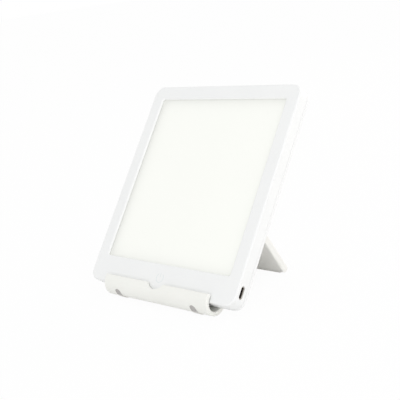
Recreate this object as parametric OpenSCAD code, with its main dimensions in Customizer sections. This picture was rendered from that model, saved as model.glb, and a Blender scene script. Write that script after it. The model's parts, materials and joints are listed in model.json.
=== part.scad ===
// Light therapy lamp: a slim edge-lit panel that stands in a folding cradle.
//
// Everything is drawn in the lamp's own frame first: x to the right, y up the panel from its
// lower edge, z out of its front face. place() then leans it back and stands it on the floor,
// with +Z up, the front towards -Y, and the origin on the floor under the middle of the whole.

/* [Lamp case] */
// Width of the lamp
lamp_w = 152; // [135:1:185]
// Height of the lamp, along the panel
lamp_h = 170.5; // [140:0.5:205]
// Thickness of the lamp, front face to back face
lamp_t = 13; // [12.6:0.1:15.6]
// Radius of the four corners, seen from the front
corner_r = 8.5; // [7:0.5:12]
// Rounding of the front edge
front_edge_r = 1.3; // [0.8:0.1:1.6]
// Rounding of the back edge
back_edge_r = 1.2; // [0.8:0.1:3.2]
// Thickness of the side walls
wall_t = 1.8; // [1.5:0.1:2.2]
// Thickness of the frame in front of the light panel
front_t = 1.6; // [1.3:0.1:1.9]
// Thickness of the back wall
back_t = 1.6; // [1.3:0.1:1.9]
// Height of the back shell, from the back face to the seam
back_shell_h = 3.4; // [3.2:0.1:3.8]
// Width of the seam between the two shells
seam_gap = 0.15; // [0.1:0.05:0.3]

/* [Window] */
// Frame width at the left and right of the window
margin_side = 11.3; // [11.2:0.1:16]
// Frame width above the window
margin_top = 11.4; // [11:0.1:18]
// Frame width below the window, which covers the control board
margin_bottom = 21.4; // [20.6:0.1:26]
// Radius of the window's corners
window_r = 1.6; // [1.5:0.1:5]
// Rounding of the window's front edge
window_edge_r = 1.4; // [0.5:0.1:1.4]

/* [Light panel] */
// How far the sheets reach under the frame, left and right
sheet_lap = 3; // [2.6:0.1:3.4]
// How far the sheets reach under the frame, top and bottom
sheet_lap_y = 2; // [1.4:0.1:2.2]
// Thickness of the tape ring that seals the window
tape_t = 0.3; // [0.2:0.05:0.4]
// Thickness of the opal diffuser
diffuser_t = 1.5; // [1:0.1:1.6]
// Thickness of each film
film_t = 0.3; // [0.2:0.05:0.35]
// Thickness of the light guide
guide_t = 3; // [2.6:0.1:3.2]
// Thickness of the aluminium back pan
pan_t = 0.8; // [0.6:0.1:1]
// Thickness of a light strip's board
strip_t = 1; // [0.8:0.1:1.2]
// How far a light chip stands off its board
chip_t = 0.8; // [0.6:0.1:0.9]
// Length of a light chip along its board
chip_l = 3.5; // [2.5:0.1:4]
// Number of light chips on each board
chip_count = 22; // [12:1:26]

/* [Controls and inlet] */
// Height of the inlet's middle above the lamp's lower edge
port_y = 12.1; // [11.6:0.1:12.2]
// Depth of the inlet's middle behind the front face
port_depth = 5; // [4.6:0.1:5.4]
// Length of the opening for the plug
port_l = 9.6; // [9.4:0.1:10]
// Width of the opening for the plug
port_w = 3.8; // [3.6:0.1:4.2]
// Height of the touch key's middle above the lamp's lower edge
key_y = 10.6; // [9:0.1:11]
// Radius of the touch key's foil
key_r = 5; // [4:0.1:5.5]
// Thickness of the control board
board_t = 1.2; // [1:0.1:1.6]
// Width of the control board, up the panel
board_h = 12.6; // [11:0.1:12.8]

/* [Screws] */
// Distance of the case screws from the lamp's middle, left and right
screw_x = 60; // [54:1:60]
// Radius of a screw post
post_r = 2.6; // [2.3:0.1:2.8]
// Radius of a case screw's thread
screw_r = 1.2; // [1:0.05:1.3]
// Radius of a case screw's head
screw_head_r = 2.2; // [2:0.1:2.4]

/* [Stand] */
// How far the lamp leans back from upright, in degrees
tilt = 38; // [32:1:44]
// Width of the cradle
cradle_w = 109; // [100:1:120]
// Thickness of the cradle's wall
cradle_t = 3.2; // [2.8:0.1:3.6]
// Rounding of the cradle's edges
cradle_edge_r = 0.8; // [0.5:0.1:1.2]
// Height of the front lip above the lamp's lower edge
lip_h = 5.6; // [5:0.1:8]
// Width of the notch in the front lip
notch_w = 18; // [12:1:24]
// Depth of the notch in the front lip
notch_depth = 4.8; // [3:0.1:5]
// Room between the lamp's front face and the lip
lip_gap = 0.4; // [0.35:0.05:0.6]
// Room between the lamp's lower front edge and the channel it sits in
seat_gap = 0.2; // [0.15:0.05:0.3]
// Room between the lamp's back face and the rest pads
rest_gap = 0.2; // [0.1:0.05:0.3]

/* [Leg and hinge] */
// Height of the hinge above the lamp's lower edge
hinge_y = 75.4; // [62:0.1:91]
// Angle between the leg and the back plate when the stand is open, in degrees
leg_open = 69.1; // [62:0.1:80]
// Width of the leg
leg_w = 92; // [78:1:94]
// Thickness of the leg
leg_t = 6.2; // [5:0.1:6.3]
// Rounding of the leg's long edges
leg_edge_r = 1.2; // [0.8:0.1:1.6]
// Rounding of the leg's foot
leg_end_r = 2.2; // [1.8:0.1:2.6]
// Radius of the hinge pin
pin_r = 1.5; // [1.2:0.1:1.8]
// Running room round the hinge pin
pin_gap = 0.05; // [0.02:0.01:0.1]
// Radius of the leg's hinge barrels
barrel_r = 3.3; // [3.2:0.05:3.4]
// Distance of the hinge pin behind the back plate
hinge_drop = 3.7; // [3.65:0.05:4.2]
// Width of the cradle's middle knuckle
middle_knuckle_w = 24; // [14:1:34]
// Thickness of a hinge washer
washer_t = 0.5; // [0.3:0.05:0.8]
// Side play next to a washer, both sides together
washer_play = 0.1; // [0.06:0.02:0.2]

/* [Rubber feet and pads] */
// Distance of the cradle's feet from the middle
foot_x = 40; // [30:1:46]
// Width of a cradle foot
foot_w = 5.5; // [4:0.1:8]
// Where a cradle foot starts, in degrees below the front lip
foot_start = 45; // [35:1:60]
// Where a cradle foot ends, in degrees below the front lip
foot_end = 158; // [145:1:170]
// Depth of a cradle foot's pocket
foot_pocket = 1.4; // [1:0.1:1.8]
// How far the cradle stands off the floor on its feet
foot_proud = 0.3; // [0.2:0.05:0.8]
// Depth that the floor takes off the round of a foot
foot_flat = 0.3; // [0.2:0.05:0.5]
// Length of a rubber strip along the leg's foot
tread_l = 24; // [10:1:26]
// Distance of the strips' middles from the middle of the leg
tread_x = 30; // [20:1:31]
// Thickness of a strip
tread_t = 2.6; // [2:0.1:3]
// How deep a strip sits in the foot, past the middle of its rounding
tread_sink = 1.2; // [0.8:0.1:1.6]
// How far a strip stands proud of the foot
tread_proud = 0.4; // [0.3:0.05:0.8]
// Radius of a rest pad behind the lamp
rest_r = 5; // [4:0.5:7]
// Thickness of a rest pad
rest_t = 1; // [0.8:0.1:1.2]
// Depth of a rest pad's pocket
rest_pocket = 0.4; // [0.3:0.1:0.6]

/* [Hidden] */
$fn = 96;

// Cuts start this far outside what they cut
cut = 1;

// Window and sheets
window_w = lamp_w - 2 * margin_side;
window_h = lamp_h - margin_top - margin_bottom;
sheet_w = window_w + 2 * sheet_lap;
sheet_h = window_h + 2 * sheet_lap_y;
sheet_y = margin_bottom - sheet_lap_y;
tape_inset = 0.3;
tape_band = min(sheet_lap, sheet_lap_y) - 2 * tape_inset;

// Front faces of the layers, as depths behind the lamp's front face
seam_depth = lamp_t - back_shell_h;
tape_z = front_t;
diffuser_z = tape_z + tape_t;
film_z = diffuser_z + diffuser_t;
guide_z = film_z + film_t;
reflector_z = guide_z + guide_t;
pan_z = reflector_z + film_t;
pan_back_z = pan_z + pan_t;
inner_back_z = lamp_t - back_t;

// Height of the inlet's metal shell, off the control board
inlet_h = 3.16;

// Light strips stand on edge beside the guide, outside them the pan's turned-up sides
layer_gap = 0.1;
guide_lap = 1.1;
guide_w = window_w + 2 * guide_lap;
chip_gap = 0.2;
chip_x = guide_w / 2 + chip_gap;
strip_x = chip_x + chip_t;
flange_x = strip_x + strip_t;
strip_h = min(guide_t - 2 * layer_gap, port_depth + inlet_h / 2 - guide_z - 2 * layer_gap);
strip_y = port_y + 1.5;
strip_l = sheet_y + sheet_h - strip_y - 2;
chip_w = 1.4;
frame_in_x = flange_x + pan_t + layer_gap;
frame_out_x = min(frame_in_x + 3.6, lamp_w / 2 - wall_t - 1.6);
frame_bar = 1;
frame_y = sheet_y - layer_gap - frame_bar;
frame_top = sheet_y + sheet_h + layer_gap + frame_bar;
frame_r = 4;
pan_corner_r = 1;

// Control board, on the front of which the inlet sits
inlet_l = 8.94;
inlet_depth = 7.3;
inlet_wall = 0.3;
inlet_floor = 0.6;
inlet_recess = 0.5;
inlet_x = lamp_w / 2 - inlet_recess - inlet_depth;
board_z = port_depth + inlet_h / 2;
board_back_z = board_z + board_t;
board_y = 3.2;
board_left = -14;
board_right = lamp_w / 2 - wall_t - 1;
board_notch = 0.8;
board_hole_gap = 0.15;
board_screw_x = [-7, 44];
board_screw_y = 12.4;
board_post_r = 2.2;
board_screw_r = 0.9;
board_screw_l = 4.2;
board_head_r = 1.8;
board_head_h = 1;
tongue_t = 0.7;
tongue_l = 6.7;
tongue_reach = 5.3;
tongue_base = 1.6;
lead_y = 9.2;
lead_pitch = 1.8;
lead_r = 0.5;
link_l = 1.4;
link_w = 0.6;
link_h = 0.9;
link_pitch = 1.1;
capacitor_x = 66;
capacitor_y = 8;
capacitor_r = 2.6;
capacitor_h = 2.9;
socket_l = 3;
socket_w = 5;
socket_h = 2.2;
socket_x = board_left + 0.5;
foil_t = 0.2;
spring_r = 2.6;
spring_wire_r = 0.45;
spring_turns = 4;
spring_end_r = 3.1;
spring_end_t = 0.3;

// Case screws, driven in from the back
screw_low_y = wall_t + 3.2;
screw_high_y = lamp_h - wall_t - 3.3;
screw_places = [for (x = [-screw_x, screw_x], y = [screw_low_y, screw_high_y]) [x, y]];
screw_sink = 0.3;
screw_head_h = 1.2;
screw_room = 0.25;
seat_wall = 0.8;
screw_l = 6;
screw_seat_z = lamp_t - screw_sink - screw_head_h;
thread_gap = 0.02;
post_end_z = inner_back_z - 1.2;
tongue_rim_t = 1;
tongue_rim_h = 1.4;
rib_t = 1.2;
rib_gap = 1.8;
support_r = 2.5;
supports = [for (x = [-0.3, 0.3], y = [0.2, 0.5, 0.8]) [x * sheet_w, sheet_y + y * sheet_h]];

// Cradle: a J with a lip in front of the lamp, a round channel under it and a plate behind
channel_w = lip_gap + lamp_t + rest_gap + rest_t - rest_pocket;
channel_r = channel_w / 2;
channel_z = lip_gap - channel_r;
bow_r = channel_r + cradle_t;
channel_y = front_edge_r + sqrt(pow(channel_r - front_edge_r - seat_gap, 2)
    - pow(channel_r - front_edge_r - lip_gap, 2));
plate_z = channel_z - channel_r;
plate_back_z = plate_z - cradle_t;
hinge_z = plate_back_z - hinge_drop;
plate_top = hinge_y + 3.6;
notch_r = (pow(notch_w / 2, 2) + pow(notch_depth, 2)) / (2 * notch_depth);
rest_x = 0.32 * cradle_w;
rest_places = [for (x = [-rest_x, rest_x], y = [20, hinge_y - 12]) [x, y]];

// Hinge
knuckle_gap = washer_t + washer_play;
knuckle_r = barrel_r + 0.2;
knuckle_web = barrel_r;
knuckle_room = 0.6;
outer_knuckle_x = leg_w / 2 + knuckle_gap;
middle_x = middle_knuckle_w / 2;
barrel_x = middle_x + knuckle_gap;
heel_gap = 0.2;
heel_x = barrel_x + 2.5;
heel_w = leg_w / 2 - heel_x - 5;
cap_r = 2.3;
cap_t = 1.2;
cap_gap = 0.05;
washer_r = barrel_r - 0.2;

// Floor height, measured up the lamp's own frame, and the way down to it
function up(y, z) = y * cos(tilt) + z * sin(tilt);
function back(y, z) = y * sin(tilt) - z * cos(tilt);
floor_up = up(channel_y, channel_z) - bow_r - foot_proud;
floor_angle = 90 + tilt;

// Feet of the cradle: their round is the channel's own, moved down through the wall, and
// their ends are a little flatter than half a circle
foot_r = bow_r - foot_proud;
foot_end_r = 0.6 * foot_w;
foot_shift = bow_r + foot_proud + foot_flat - foot_r;
pocket_gap = 0.1;
pocket_r = bow_r - foot_pocket;

// The leg's length follows from the floor, on which the strips in its foot stand square.
// toe_y and toe_z are the middle of the rounding that comes nearest to the floor
tread_gap = 0.1;
leg_turn = leg_open + 90 - tilt;
toe_z = leg_t / 2 - leg_end_r;
leg_l = leg_end_r + (up(hinge_y, hinge_z) - floor_up - leg_end_r - tread_proud
    + toe_z * cos(leg_turn)) / sin(leg_turn);
toe_y = leg_end_r - leg_l;

// Ends of the whole object, front to back
front_end = back(channel_y, channel_z) - bow_r;
lamp_back_end = back(lamp_h - back_edge_r, back_edge_r - lamp_t) + back_edge_r;
leg_back_end = back(hinge_y, hinge_z) + toe_y * cos(leg_turn) + toe_z * sin(leg_turn)
    + leg_end_r;
middle_y = (front_end + max(lamp_back_end, leg_back_end)) / 2;

// Colours
white_case = [0.95, 0.96, 0.97];
white_stand = [0.94, 0.94, 0.92];
opal = [0.99, 0.99, 0.96];
clear = [0.85, 0.93, 0.96];
metal = [0.75, 0.76, 0.78];
steel = [0.62, 0.62, 0.64];
board_green = [0.1, 0.35, 0.2];
board_white = [0.93, 0.94, 0.92];
black = [0.06, 0.06, 0.07];
copper = [0.8, 0.5, 0.3];
wire_red = [0.75, 0.12, 0.1];
chip_yellow = [0.95, 0.85, 0.4];
rubber = [0.55, 0.55, 0.54];

// ---- placing ----

// From the lamp's frame to the object's own
module place() {
    translate([0, -middle_y, -floor_up]) rotate([90 - tilt, 0, 0]) children();
}

// From the leg's frame to the lamp's: the pin at the origin, the leg along -y when folded
module leg_place() {
    translate([0, hinge_y, hinge_z]) rotate([leg_open, 0, 0]) children();
}

// A flat shape drawn in y and z, made into a bar along x
module bar_x(x0, x1) {
    translate([x0, 0, 0]) rotate([90, 0, 90]) linear_extrude(x1 - x0) children();
}

// ---- shared shapes ----

// Rectangle with round corners, centred in x and standing on y = 0
module round_rect(w, h, r) {
    translate([-w / 2 + r, 0]) square([w - 2 * r, h]);
    translate([-w / 2, r]) square([w, h - 2 * r]);
    for (x = [-w / 2 + r, w / 2 - r], y = [r, h - r])
        translate([x, y]) circle(r);
}

// The same rectangle as a sheet whose front face lies at the given depth
module sheet(w, h, r, y0, depth, t) {
    translate([0, y0, -depth - t]) linear_extrude(t) round_rect(w, h, r);
}

// A flat ring as a sheet, band wide
module sheet_ring(w, h, r, y0, depth, t, band) {
    translate([0, y0, -depth - t]) linear_extrude(t) difference() {
        round_rect(w, h, r);
        translate([0, band]) round_rect(w - 2 * band, h - 2 * band, max(r - band, 0.5));
    }
}

// Carries a section round an outline. The section's x runs outwards from the middle of a
// corner, so that x = r is the outline itself, and its y is z
module along_outline(w, h, r) {
    for (s = [-1, 1]) {
        translate([s * (w / 2 - r), h / 2, 0]) rotate([0, 0, 90 - 90 * s]) rotate([90, 0, 0])
            linear_extrude(h - 2 * r, center = true) children();
        translate([0, h / 2 + s * (h / 2 - r), 0]) rotate([0, 0, 90 * s]) rotate([90, 0, 0])
            linear_extrude(w - 2 * r, center = true) children();
        for (u = [-1, 1])
            translate([s * (w / 2 - r), h / 2 + u * (h / 2 - r), 0])
                rotate([0, 0, u > 0 ? 45 - 45 * s : 225 + 45 * s])
                    rotate_extrude(angle = 90) children();
    }
}

// The lamp's outer form, with its front and back edges rounded
module case_form() {
    translate([-lamp_w / 2 + corner_r, corner_r, -lamp_t])
        cube([lamp_w - 2 * corner_r, lamp_h - 2 * corner_r, lamp_t]);
    along_outline(lamp_w, lamp_h, corner_r) {
        union() {
            translate([0, -lamp_t + back_edge_r])
                square([corner_r, lamp_t - front_edge_r - back_edge_r]);
            translate([0, -lamp_t]) square([corner_r - back_edge_r, lamp_t]);
            translate([0, -front_edge_r - cut / 2])
                square([corner_r - front_edge_r, front_edge_r + cut / 2]);
            translate([corner_r - front_edge_r, -front_edge_r]) circle(front_edge_r);
            translate([corner_r - back_edge_r, back_edge_r - lamp_t]) circle(back_edge_r);
        }
    }
}

// Everything inside the side walls between two depths
module case_hollow(depth0, depth1, inset) {
    sheet(lamp_w - 2 * inset, lamp_h - 2 * inset, corner_r - inset, inset, depth0,
        depth1 - depth0);
}

// Everything of the case between two depths
module case_slice(depth0, depth1) {
    intersection() {
        case_form();
        translate([-lamp_w, -cut, -depth1]) cube([2 * lamp_w, lamp_h + 2 * cut, depth1 - depth0]);
    }
}

// A post standing behind the front frame
module post(x, y, r, depth) {
    translate([x, y, -depth]) cylinder(r = r, h = depth - front_t + cut / 4);
}

// ---- lamp ----

module front_bezel() {
    color(white_case) place() {
        difference() {
            case_slice(-cut, seam_depth);
            case_hollow(front_t, seam_depth + cut, wall_t);
            sheet(window_w, window_h, window_r, margin_bottom, -cut, front_t + 2 * cut);
            // The window's front edge is rounded over
            translate([0, margin_bottom, 0]) along_outline(window_w, window_h, window_r)
                difference() {
                    translate([window_r - cut / 4, -window_edge_r])
                        square([window_edge_r + cut / 4, window_edge_r + cut]);
                    translate([window_r + window_edge_r, -window_edge_r])
                        circle(window_edge_r);
                }
            // Opening for the plug, with round ends
            translate([lamp_w / 2 - wall_t - cut, port_y, -port_depth]) rotate([0, 90, 0])
                linear_extrude(wall_t + 2 * cut) port_outline(port_l, port_w);
        }
        for (p = screw_places)
            difference() {
                union() {
                    post(p[0], p[1], post_r, post_end_z);
                    screw_rib(p);
                }
                translate([p[0], p[1], -post_end_z - cut])
                    cylinder(r = screw_r + thread_gap, h = post_end_z - front_t);
            }
        for (x = board_screw_x)
            difference() {
                post(x, board_screw_y, board_post_r, board_z);
                translate([x, board_screw_y, -board_z - cut])
                    cylinder(r = board_screw_r + thread_gap, h = board_z - front_t);
            }
    }
}

// An oblong with its length along y
module port_outline(l, w) {
    square([w, l - w], center = true);
    for (s = [-1, 1]) translate([0, s * (l - w) / 2]) circle(w / 2);
}

// A web that ties a screw post to the nearer wall
module screw_rib(p) {
    low = p[1] < lamp_h / 2;
    y0 = low ? wall_t - cut / 4 : p[1];
    y1 = low ? p[1] : lamp_h - wall_t + cut / 4;
    translate([p[0] - rib_t / 2, y0, -seam_depth + rib_gap])
        cube([rib_t, y1 - y0, seam_depth - rib_gap - front_t + cut / 4]);
}

module back_cover() {
    color(white_case) place() difference() {
        union() {
            difference() {
                case_slice(seam_depth + seam_gap, lamp_t + cut);
                case_hollow(seam_depth - cut, inner_back_z, wall_t);
            }
            // The rim that slips inside the front shell
            rim_in = wall_t + seam_gap;
            sheet_ring(lamp_w - 2 * rim_in, lamp_h - 2 * rim_in, corner_r - rim_in, rim_in,
                seam_depth + seam_gap - tongue_rim_h, tongue_rim_h + 2 * seam_gap, tongue_rim_t);
            sheet_ring(lamp_w - 2 * wall_t + cut / 2, lamp_h - 2 * wall_t + cut / 2,
                corner_r - wall_t + cut / 4, wall_t - cut / 4, seam_depth + 2 * seam_gap,
                inner_back_z - seam_depth - 2 * seam_gap + cut / 4, tongue_rim_t + cut / 4
                + seam_gap);
            for (p = supports)
                translate([p[0], p[1], -inner_back_z - cut / 4])
                    cylinder(r = support_r, h = inner_back_z - pan_back_z - layer_gap + cut / 4);
            // Thicker seats under the screw heads
            for (p = screw_places) translate([p[0], p[1], -inner_back_z - cut / 4])
                cylinder(r = screw_head_r + screw_room + seat_wall, h = inner_back_z - post_end_z);
        }
        for (p = screw_places) translate([p[0], p[1], 0]) {
            translate([0, 0, -lamp_t - cut]) cylinder(r = screw_r + screw_room, h = lamp_t);
            translate([0, 0, -lamp_t - cut])
                cylinder(r = screw_head_r + screw_room, h = lamp_t - screw_seat_z + cut);
        }
        // The rim is cut away round the screw posts
        for (p = screw_places)
            translate([p[0], p[1], -post_end_z - 2 * layer_gap])
                cylinder(r = post_r + screw_room, h = post_end_z);
    }
}

module case_screws() {
    color(steel) place() for (p = screw_places) translate([p[0], p[1], -screw_seat_z]) {
        translate([0, 0, -screw_head_h]) cylinder(r = screw_head_r, h = screw_head_h);
        translate([0, 0, -screw_head_h / 2]) cylinder(r = screw_r, h = screw_l);
    }
}

module diffuser_tape() {
    color(white_case) place()
        sheet_ring(sheet_w - 2 * tape_inset, sheet_h - 2 * tape_inset, window_r,
            sheet_y + tape_inset, tape_z, tape_t, tape_band);
}

module diffuser_plate() {
    color(opal) place() sheet(sheet_w, sheet_h, window_r, sheet_y, diffuser_z, diffuser_t);
}

module diffusion_film() {
    color(opal) place() sheet(sheet_w, sheet_h, window_r, sheet_y, film_z, film_t);
}

module light_guide() {
    color(clear) place() sheet(guide_w, sheet_h, 1, sheet_y, guide_z, guide_t);
}

module reflector_sheet() {
    color(board_white) place() sheet(guide_w, sheet_h, 1, sheet_y, reflector_z, film_t);
}

module back_pan() {
    color(metal) place() {
        sheet(2 * (flange_x + pan_t), sheet_h, pan_corner_r, sheet_y, pan_z, pan_t);
        // The turned-up sides, against which the light strips lie
        for (s = [-1, 1])
            translate([s > 0 ? flange_x : -flange_x - pan_t, sheet_y + pan_corner_r, -pan_back_z])
                cube([pan_t, sheet_h - 2 * pan_corner_r, pan_back_z - guide_z - layer_gap]);
    }
}

module panel_frame() {
    color(white_case) place() difference() {
        sheet(2 * frame_out_x, frame_top - frame_y, frame_r, frame_y, front_t,
            pan_back_z - front_t);
        sheet(2 * frame_in_x, frame_top - frame_y - 2 * frame_bar, pan_corner_r, frame_y + frame_bar,
            -cut, pan_back_z + 2 * cut);
        // Slots for the tails of the light strips
        for (s = [-1, 1])
            translate([s * (strip_x + strip_t / 2) - 1, frame_y - cut, -pan_back_z - cut])
                cube([2, frame_bar + 2 * cut, pan_back_z - guide_z + cut]);
    }
}

module light_strip(s) {
    color(board_white) place()
        translate([s > 0 ? strip_x : -flange_x, strip_y, -guide_z - layer_gap - strip_h])
            cube([strip_t, strip_l, strip_h]);
}

module light_strip_left() { light_strip(-1); }
module light_strip_right() { light_strip(1); }

module light_chips(s) {
    first = sheet_y + 4;
    pitch = (sheet_h - 8 - chip_l) / (chip_count - 1);
    color(chip_yellow) place() for (i = [0 : chip_count - 1])
        translate([s > 0 ? chip_x : -strip_x, first + i * pitch,
            -guide_z - guide_t / 2 - chip_w / 2])
            cube([chip_t, chip_l, chip_w]);
}

module light_chips_left() { light_chips(-1); }
module light_chips_right() { light_chips(1); }

// ---- controls ----

module control_board() {
    color(board_green) place() difference() {
        intersection() {
            translate([board_left, board_y, -board_back_z])
                cube([board_right - board_left, board_h, board_t]);
            case_hollow(board_z - cut, board_back_z + cut, wall_t + 1);
        }
        translate([screw_x, screw_low_y, -board_back_z - cut])
            cylinder(r = post_r + board_notch, h = board_t + 2 * cut);
        translate([screw_x - post_r - board_notch, board_y - cut, -board_back_z - cut])
            cube([2 * (post_r + board_notch), screw_low_y - board_y + cut, board_t + 2 * cut]);
        for (x = board_screw_x)
            translate([x, board_screw_y, -board_back_z - cut])
                cylinder(r = board_screw_r + board_hole_gap, h = board_t + 2 * cut);
    }
}

// Parts on the back of the board: [x, y, length, width, height]
chips = [
    [8, 9, 5, 5, 0.9], [18, 10, 4, 3, 0.9], [27, 9, 6, 6, 2.8], [36, 6, 3.2, 1.6, 0.8],
    [36, 11, 3.2, 1.6, 0.8], [52, 12, 6, 3, 1.6], [-4, 6, 2, 1.2, 0.8], [2, 13, 2, 1.2, 0.8]
];

module board_components() {
    color(black) place() {
        for (c = chips)
            translate([c[0] - c[2] / 2, c[1] - c[3] / 2, -board_back_z - c[4]])
                cube([c[2], c[3], c[4]]);
        // Reservoir capacitor
        translate([capacitor_x, capacitor_y, -board_back_z - capacitor_h])
            cylinder(r = capacitor_r, h = capacitor_h);
        // Socket for the leads of the left light strip
        translate([socket_x, lead_y + (lead_pitch - socket_w) / 2, -board_z])
            cube([socket_l, socket_w, socket_h]);
    }
}

module board_screws() {
    color(steel) place() for (x = board_screw_x) translate([x, board_screw_y, 0]) {
        translate([0, 0, -board_back_z - board_head_h])
            cylinder(r = board_head_r, h = board_head_h);
        translate([0, 0, -board_back_z - board_head_h / 2])
            cylinder(r = board_screw_r, h = board_screw_l);
    }
}

module inlet_shell() {
    color(steel) place() translate([inlet_x, port_y, -port_depth]) rotate([0, 90, 0])
        difference() {
            linear_extrude(inlet_depth) port_outline(inlet_l, inlet_h);
            translate([0, 0, inlet_floor]) linear_extrude(inlet_depth)
                port_outline(inlet_l - 2 * inlet_wall, inlet_h - 2 * inlet_wall);
        }
}

module inlet_tongue() {
    color(black) place() translate([inlet_x + inlet_floor, port_y, -port_depth]) {
        translate([0, -tongue_l / 2, -tongue_t / 2]) cube([tongue_reach, tongue_l, tongue_t]);
        rotate([0, 90, 0]) linear_extrude(tongue_base)
            port_outline(inlet_l - 2 * inlet_wall, inlet_h - 2 * inlet_wall);
    }
}

module touch_foil() {
    color(copper) place() translate([0, key_y, -front_t - foil_t])
        cylinder(r = key_r, h = foil_t);
}

// A coil that presses the foil and stands on the board
module touch_spring() {
    color(metal) place() translate([0, key_y, -board_z]) {
        spring_h = board_z - front_t - foil_t;
        linear_extrude(spring_h, twist = -360 * spring_turns, slices = 16 * spring_turns,
            $fn = 8) translate([spring_r, 0]) circle(spring_wire_r);
        for (z = [0, spring_h - spring_end_t])
            translate([0, 0, z]) cylinder(r = spring_end_r, h = spring_end_t);
    }
}

// Two insulated wires from the board's socket to the left light strip, and two short links
// from the board to the right one
module strip_leads() {
    lead_z = -board_z + socket_h / 2;
    spread = 1.4;
    first = 1.2;
    color(wire_red) place() {
        for (k = [0, 1]) {
            y0 = lead_y + lead_pitch * k;
            y1 = strip_y + first + spread * k;
            turn_x = -strip_x + first + spread * k;
            lead([turn_x, y0, lead_z], [socket_x, y0, lead_z]);
            lead([turn_x, y0, lead_z], [turn_x, y1, lead_z]);
            lead([-strip_x, y1, lead_z], [turn_x, y1, lead_z]);
            for (y = [y0, y1]) translate([turn_x, y, lead_z]) sphere(r = lead_r, $fn = 24);
        }
        for (k = [0, 1])
            translate([strip_x - link_l, strip_y + link_w + link_pitch * k, -board_z])
                cube([link_l, link_w, link_h]);
    }
}

// A straight wire between two points that differ in x or in y alone
module lead(from, to) {
    along_y = from[0] == to[0];
    translate(from) rotate(along_y ? [-90, 0, 0] : [0, 90, 0])
        cylinder(r = lead_r, h = along_y ? to[1] - from[1] : to[0] - from[0], $fn = 24);
}

// ---- stand ----

// A bar's cross-section, drawn in x and the wall's thickness, with its four edges rounded
module wall_section(w, t, r) {
    translate([0, -t / 2]) round_rect(w, t, r);
}

// A wall from y0 to y1 whose back face is at z0, with all its edges rounded but the lower
module standing_wall(w, t, r, y0, y1, z0) {
    intersection() {
        translate([0, y0, z0 + t / 2]) rotate([-90, 0, 0])
            linear_extrude(y1 - y0) wall_section(w, t, r);
        bar_x(-w, w) {
            translate([y0 - cut, z0 - cut]) square([y1 - y0 + cut - r, t + 2 * cut]);
            translate([y0 - cut, z0 + r]) square([y1 - y0 + cut, t - 2 * r]);
            for (z = [z0 + r, z0 + t - r]) translate([y1 - r, z]) circle(r);
        }
    }
}

// The wall's round part, under the lamp
module bow() {
    translate([0, channel_y, channel_z]) rotate([0, 90, 0]) rotate([0, 0, 180])
        rotate_extrude(angle = 180) translate([channel_r + cradle_t / 2, 0])
            rotate([0, 0, 90]) wall_section(cradle_w, cradle_t, cradle_edge_r);
}

// A ring sector in y and z round the channel, from one angle below the front to another
module bow_sector(r, angle0, angle1) {
    far = 2 * r;
    mid = (angle0 + angle1) / 2;
    intersection() {
        circle(r);
        polygon([[0, 0], for (a = [angle0, mid, angle1]) far * [-sin(a), cos(a)]]);
    }
}

// The space that a cradle foot takes, gap bigger all round, out to the far radius: a slab
// along the round, whose ends are then cut round
module foot_space(gap, far) {
    half = foot_w / 2 + gap;
    turn = asin(foot_end_r / bow_r);
    translate([0, channel_y, channel_z]) difference() {
        bar_x(-half, half) bow_sector(far, foot_start - turn, foot_end + turn);
        for (end = [[foot_start + turn, 1], [foot_end - turn, -1]])
            rotate([end[0], 0, 0]) linear_extrude(2 * far) difference() {
                translate([0, end[1] * foot_w]) square(2 * foot_w, center = true);
                circle(foot_end_r + gap);
            }
    }
}

module knuckle(x0, x1) {
    bar_x(x0, x1) {
        translate([hinge_y, hinge_z]) circle(knuckle_r);
        translate([hinge_y - knuckle_web, hinge_z])
            square([2 * knuckle_web, hinge_drop + cut / 2]);
    }
}

module cradle() {
    color(white_stand) place() difference() {
        union() {
            bow();
            standing_wall(cradle_w, cradle_t, cradle_edge_r, channel_y, lip_h, lip_gap);
            standing_wall(cradle_w, cradle_t, cradle_edge_r, channel_y, plate_top,
                plate_back_z);
            knuckle(-middle_x, middle_x);
            knuckle(outer_knuckle_x, cradle_w / 2 - cradle_edge_r);
            knuckle(cradle_edge_r - cradle_w / 2, -outer_knuckle_x);
        }
        // Round notch in the lip, below the touch key
        translate([0, lip_h - notch_depth + notch_r, -cut])
            cylinder(r = notch_r, h = lip_gap + cradle_t + 3 * cut);
        // Bore for the pin, wider at both ends for the caps
        translate([-cradle_w / 2, hinge_y, hinge_z]) rotate([0, 90, 0])
            cylinder(r = pin_r + pin_gap, h = cradle_w);
        for (s = [-1, 1])
            translate([s * (cradle_w / 2 - cradle_edge_r), hinge_y, hinge_z])
                rotate([0, 90, 0]) cylinder(r = cap_r + cap_gap, h = 2 * cap_t, center = true);
        // Pockets for the two feet
        for (s = [-1, 1]) translate([s * foot_x, 0, 0]) difference() {
            foot_space(pocket_gap, bow_r + 3 * cut);
            bar_x(-foot_w, foot_w) translate([channel_y, channel_z]) circle(pocket_r);
        }
        // Shallow pockets for the rest pads
        for (p = rest_places) translate([p[0], p[1], plate_z - rest_pocket])
            cylinder(r = rest_r + pocket_gap, h = rest_pocket + cut);
    }
}

module rest_pads() {
    color(rubber) place() for (p = rest_places)
        translate([p[0], p[1], plate_z - rest_pocket]) cylinder(r = rest_r, h = rest_t);
}

// A rubber foot let into the round of the cradle. It comes proud towards the floor, which
// cuts it flat
module cradle_foot(s) {
    color(rubber) place() translate([s * foot_x, 0, 0]) intersection() {
        foot_space(0, bow_r + 3 * cut);
        bar_x(-foot_w, foot_w) translate([channel_y, channel_z]) difference() {
            intersection() {
                rotate(floor_angle + 90) translate([foot_shift, 0]) circle(foot_r);
                rotate(floor_angle + 90) translate([-2 * bow_r, -2 * bow_r])
                    square([3 * bow_r + foot_proud, 4 * bow_r]);
            }
            circle(pocket_r);
        }
    }
}

module cradle_foot_left() { cradle_foot(-1); }
module cradle_foot_right() { cradle_foot(1); }

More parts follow.
